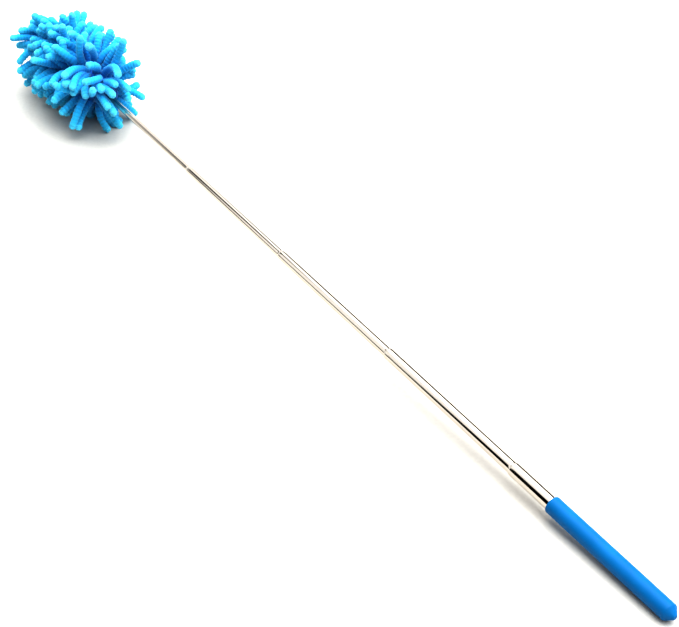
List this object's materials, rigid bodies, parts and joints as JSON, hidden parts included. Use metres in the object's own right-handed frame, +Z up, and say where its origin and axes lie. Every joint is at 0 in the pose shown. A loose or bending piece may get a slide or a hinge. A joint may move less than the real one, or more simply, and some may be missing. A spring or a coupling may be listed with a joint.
{
  "type": "telescopic chenille duster",
  "caption": "Hand duster with a long chenille head on a telescopic polished steel pole and a vinyl dip-moulded grip, drawn out and lying down.",
  "frame": {"origin": "middle of the footprint, on the surface that the duster lies on", "axes": "+X along the object from the grip to the head, +Z up; the pole itself rises 2.4 degrees towards the head"},
  "size_m": [0.7558, 0.084, 0.0768],
  "materials": {
    "vinyl": "glossy dip-moulded vinyl",
    "steel": "polished stainless steel",
    "spring_bronze": "rolled spring bronze",
    "nylon": "moulded nylon",
    "core": "moulded polypropylene",
    "backing": "knitted microfibre backing",
    "elastic": "braided elastic",
    "chenille": "microfibre chenille strands"
  },
  "bodies": {
    "handle": {"grip_sleeve": "vinyl", "end_plug": "nylon", "outer_tube": "steel"},
    "second_shells": {"second_shell_left": "spring_bronze", "second_shell_right": "spring_bronze"},
    "second_section": {"second_tube": "steel"},
    "third_shells": {"third_shell_left": "spring_bronze", "third_shell_right": "spring_bronze"},
    "third_section": {"third_tube": "steel"},
    "fourth_shells": {"fourth_shell_left": "spring_bronze", "fourth_shell_right": "spring_bronze"},
    "fourth_section": {"fourth_tube": "steel"},
    "tip_shells": {"tip_shell_left": "spring_bronze", "tip_shell_right": "spring_bronze"},
    "tip_section": {"tip_tube": "steel", "core_spindle": "core", "core_cap": "core", "socket_pin": "steel", "cover_backing": "backing", "neck_tie": "elastic", "chenille_pile": "chenille"}
  },
  "joints": [
    {"name": "second_slide", "type": "slide", "parent": "handle", "child": "second_shells", "axis": [0.9991, 0, 0.0417], "range_m": [-0.1175, 0]},
    {"name": "second_spin", "type": "hinge", "parent": "second_shells", "child": "second_section", "pos_m": [-0.25315, 0, 0.01061], "axis": [0.9991, 0, 0.0417], "continuous": true},
    {"name": "third_slide", "type": "slide", "parent": "second_section", "child": "third_shells", "axis": [0.9991, 0, 0.0417], "range_m": [-0.1175, 0]},
    {"name": "third_spin", "type": "hinge", "parent": "third_shells", "child": "third_section", "pos_m": [-0.12926, 0, 0.01578], "axis": [0.9991, 0, 0.0417], "continuous": true},
    {"name": "fourth_slide", "type": "slide", "parent": "third_section", "child": "fourth_shells", "axis": [0.9991, 0, 0.0417], "range_m": [-0.1175, 0]},
    {"name": "fourth_spin", "type": "hinge", "parent": "fourth_shells", "child": "fourth_section", "pos_m": [-0.00537, 0, 0.02095], "axis": [0.9991, 0, 0.0417], "continuous": true},
    {"name": "tip_slide", "type": "slide", "parent": "fourth_section", "child": "tip_shells", "axis": [0.9991, 0, 0.0417], "range_m": [-0.1175, 0]},
    {"name": "tip_spin", "type": "hinge", "parent": "tip_shells", "child": "tip_section", "pos_m": [0.11852, 0, 0.02612], "axis": [0.9991, 0, 0.0417], "continuous": true}
  ]
}
